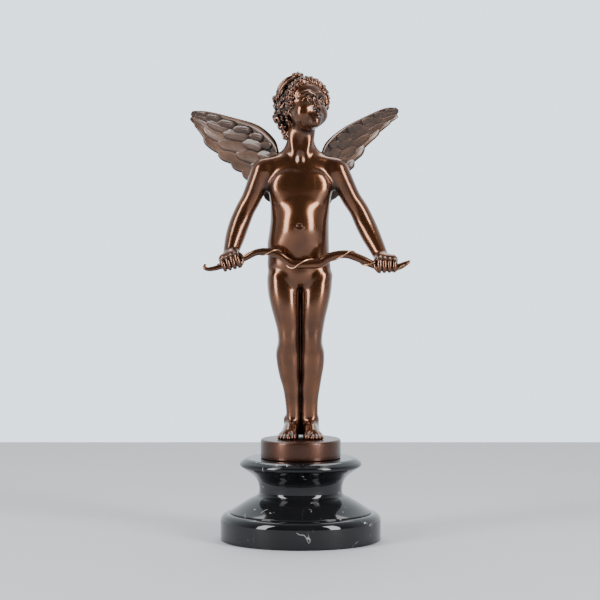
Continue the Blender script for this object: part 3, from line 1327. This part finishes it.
def ranged(made, value, low, high, to_low, to_high):
    """A number moved from one range to another, and held at its ends."""
    return node(made, "ShaderNodeMapRange", n0=value, n1=low, n2=high, n3=to_low, n4=to_high).outputs[0]


def mixed(made, share, first, second):
    """A colour between two colours."""
    return node(made, "ShaderNodeMix", {"data_type": "RGBA"}, n0=share, n6=first, n7=second).outputs[2]


def calculated(made, operation, first, second=0.0, clamp=False):
    """One step of arithmetic on two numbers, held from 0 to 1 where that is asked."""
    settings = {"operation": operation, "use_clamp": clamp}
    return node(made, "ShaderNodeMath", settings, n0=first, n1=second).outputs[0]


def into(made, shader, name, value):
    """Gives an input of the shader a number, a colour or another socket."""
    if isinstance(value, bpy.types.NodeSocket):
        made.node_tree.links.new(value, shader.inputs[name])
    else:
        shader.inputs[name].default_value = value


# Barbs of a feather: waves along it in radians, how far they slant, and their height
BARB_WAVES = 330.0
BARB_SLANT = 26.0
BARB_HEIGHT = 0.000014


def bronze(name, worn, dark, shine, coat, barbs=False, grain=0.00002):
    """Patinated bronze. worn and dark are the two tones, shine the roughness of the worn one,
    coat the share of wax over it, and grain the height of its specks in metres."""
    made, shader = new_material(name)
    clouds = noise(made, 55.0)
    specks = noise(made, 900.0, 2.0)
    depth = ranged(made, stored(made, "hollow"), 0.08, 0.75, 0.0, 1.0)
    patches = ranged(made, clouds, 0.38, 0.66, 0.0, 0.45)
    amount = calculated(made, "ADD", depth, patches, clamp=True)
    into(made, shader, "Base Color", mixed(made, amount, (*worn, 1), (*dark, 1)))
    into(made, shader, "Metallic", 0.85)
    rough = ranged(made, clouds, 0.3, 0.7, shine, shine + 0.08)
    dull = calculated(made, "MULTIPLY", depth, 0.3)
    into(made, shader, "Roughness", calculated(made, "ADD", rough, dull))
    into(made, shader, "Coat Weight", coat)
    into(made, shader, "Coat Roughness", 0.10)
    height = calculated(made, "MULTIPLY", specks, grain)
    if barbs:
        waves = calculated(made, "MULTIPLY", stored(made, "along"), BARB_WAVES)
        aside = calculated(made, "ABSOLUTE", stored(made, "across"))
        slant = calculated(made, "SUBTRACT", waves, calculated(made, "MULTIPLY", aside, BARB_SLANT))
        ribs = calculated(made, "MULTIPLY", calculated(made, "SINE", slant), BARB_HEIGHT)
        height = calculated(made, "ADD", height, ribs)
    bump = node(made, "ShaderNodeBump", Height=height, Strength=1.0, Distance=1.0)
    into(made, shader, "Normal", bump.outputs["Normal"])
    return made


brown = bronze("brown bronze", (0.140, 0.052, 0.021), (0.014, 0.006, 0.004), 0.19, 0.6)
feathered = bronze("brown bronze of the wings", (0.076, 0.043, 0.029), (0.010, 0.005, 0.0035),
                   0.36, 0.5, barbs=True)
satin = bronze("satin bronze of the disc", (0.070, 0.027, 0.015), (0.030, 0.012, 0.007), 0.30, 0.35)
bright = bronze("rubbed bronze of the cord", (0.480, 0.260, 0.150), (0.140, 0.065, 0.035), 0.26, 0.40)

# %% [markdown]
# ## Black marble
#
# The plinth is a black limestone that takes a mirror polish and is sold as black marble. It
# has few, thin, pale veins and some white flecks. Both come from noise that is cut off
# sharply, and a second slower noise lets them show only here and there.

# %% Marble material
marble, shader = new_material("polished black marble")
where = node(marble, "ShaderNodeTexCoord").outputs["Object"]
drift = node(marble, "ShaderNodeTexNoise", Vector=where, Scale=22.0, Detail=3.0).outputs["Color"]
bent = node(marble, "ShaderNodeMix", {"data_type": "VECTOR"}, n0=0.05, n4=where, n5=drift).outputs[1]
web = node(marble, "ShaderNodeTexVoronoi", {"feature": "DISTANCE_TO_EDGE"}, Vector=bent, Scale=30.0)
vein = ranged(marble, web.outputs["Distance"], 0.0, 0.010, 1.0, 0.0)
place = ranged(marble, noise(marble, 55.0, 2.0), 0.65, 0.70, 0.0, 0.9)
flecks = ranged(marble, noise(marble, 210.0, 2.0), 0.69, 0.73, 0.0, 1.0)
crowds = ranged(marble, noise(marble, 30.0, 1.0), 0.50, 0.60, 0.0, 1.0)
flecks = calculated(marble, "MULTIPLY", flecks, crowds)
pale = calculated(marble, "ADD", calculated(marble, "MULTIPLY", vein, place), flecks, clamp=True)
ground = mixed(marble, noise(marble, 40.0), (0.0035, 0.0035, 0.0042, 1), (0.0085, 0.0085, 0.0095, 1))
amount = calculated(marble, "MULTIPLY", pale, 0.8)
into(marble, shader, "Base Color", mixed(marble, amount, ground, (0.42, 0.41, 0.39, 1)))
into(marble, shader, "Roughness", ranged(marble, noise(marble, 60.0), 0.3, 0.7, 0.05, 0.10))
into(marble, shader, "Specular IOR Level", 0.42)

# %% [markdown]
# Most of the casting has the one brown patina. The wings are duller and have fine barbs.
# The foot disc is turned and has a satin look, and the cord is rubbed bright, because it
# stands proud of the bow.

# %% Each piece gets its finish
FINISHES = {"wing_on_the_left": feathered, "wing_on_the_right": feathered, "foot_disc": satin,
            "bowstring": bright, "plinth": marble}
for name, piece in pieces.items():
    piece.data.materials.append(FINISHES.get(name, brown))
print(len(pieces), "pieces have their finish")

# %% [markdown]
# ## Floor, light and camera
#
# The object stands on a plain pale floor that runs on to the horizon. Two tall soft lights
# stand in front, left and right, and give the long highlights on limbs and marble. The
# surroundings are pale at the sides and behind, and dark behind the camera, which is why
# polished black stone looks black and keeps bright edges.

# %% Floor and lights
floor_mesh = bpy.data.meshes.new("floor")
floor_mesh.from_pydata([(-3, -3, 0), (3, -3, 0), (3, 0.65, 0), (-3, 0.65, 0)], [], [(0, 1, 2, 3)])
floor = bpy.data.objects.new("floor", floor_mesh)
bpy.context.scene.collection.objects.link(floor)
paper, shader = new_material("pale paper")
grey = mixed(paper, noise(paper, 3.0), (0.44, 0.45, 0.47, 1), (0.47, 0.48, 0.50, 1))
into(paper, shader, "Base Color", grey)
into(paper, shader, "Roughness", 0.7)
floor_mesh.materials.append(paper)
LIT_HEIGHT = 0.18


def soft_light(name, azimuth, distance, height, size, power):
    """A soft light that faces the middle of the object. Azimuth is in degrees and 0 on the
    camera's side. The light stands at the distance times its sine and its cosine."""
    lamp = bpy.data.lights.new(name, "AREA")
    lamp.shape, lamp.size, lamp.size_y, lamp.energy = "RECTANGLE", *size, power
    holder = bpy.data.objects.new(name, lamp)
    angle = math.radians(azimuth)
    holder.location = (distance * math.sin(angle), -distance * math.cos(angle), height)
    way = Vector((0, 0, LIT_HEIGHT)) - holder.location
    holder.rotation_euler = way.to_track_quat("-Z", "Y").to_euler()
    holder.visible_camera = False
    bpy.context.scene.collection.objects.link(holder)


soft_light("light on the left", -57.0, 1.4, 0.70, (0.42, 1.5), 34.0)
soft_light("light on the right", 50.0, 1.4, 0.70, (0.42, 1.5), 38.0)
soft_light("light from above", 180.0, 0.9, 1.6, (1.4, 1.0), 16.0)

world = bpy.data.worlds.new("surroundings")
world.use_nodes = True
bpy.context.scene.world = world
world.node_tree.nodes.clear()
# Darker towards the front, paler to the sides and behind
way = node(world, "ShaderNodeTexCoord").outputs["Generated"]
forwards = node(world, "ShaderNodeSeparateXYZ", n0=way).outputs["Y"]
strength = ranged(world, forwards, -0.45, 0.55, 0.03, 1.5)
surround = node(world, "ShaderNodeBackground", Color=(0.80, 0.87, 0.92, 1), Strength=strength)
backdrop = node(world, "ShaderNodeBackground", Color=(0.74, 0.87, 0.95, 1), Strength=2.4)
# What the camera sees straight behind the object is the even backdrop
seen = node(world, "ShaderNodeLightPath").outputs["Is Camera Ray"]
choice = node(world, "ShaderNodeMixShader", n0=seen, n1=surround.outputs[0], n2=backdrop.outputs[0])
node(world, "ShaderNodeOutputWorld", Surface=choice.outputs[0])

# %% [markdown]
# The camera stands level with the figure's knees, a good two metres away with a long lens, so
# the upright lines stay upright. The last step writes the sizes of the solid model and of
# the dressed pieces side by side, and hands the scene over.

# %% Camera, sizes and hand-over
# Metres to a pixel at the object, pixels across the picture, and where the camera stands
SCALE_OF_THE_VIEW = 0.000744
PICTURE_WIDTH = 600
CAMERA_PLACE = (-0.0005, -2.2, 0.32)
CAMERA_AIM = (-0.0005, 0.0, 0.1793)
FILM_WIDTH = 36.0
lens_data = bpy.data.cameras.new("camera")
camera = bpy.data.objects.new("camera", lens_data)
bpy.context.scene.collection.objects.link(camera)
camera.location = CAMERA_PLACE
aim = Vector(CAMERA_AIM) - camera.location
camera.rotation_euler = aim.to_track_quat("-Z", "Y").to_euler()
lens_data.sensor_width = FILM_WIDTH
lens_data.lens = FILM_WIDTH * aim.length / (SCALE_OF_THE_VIEW * PICTURE_WIDTH)
bpy.context.scene.camera = camera
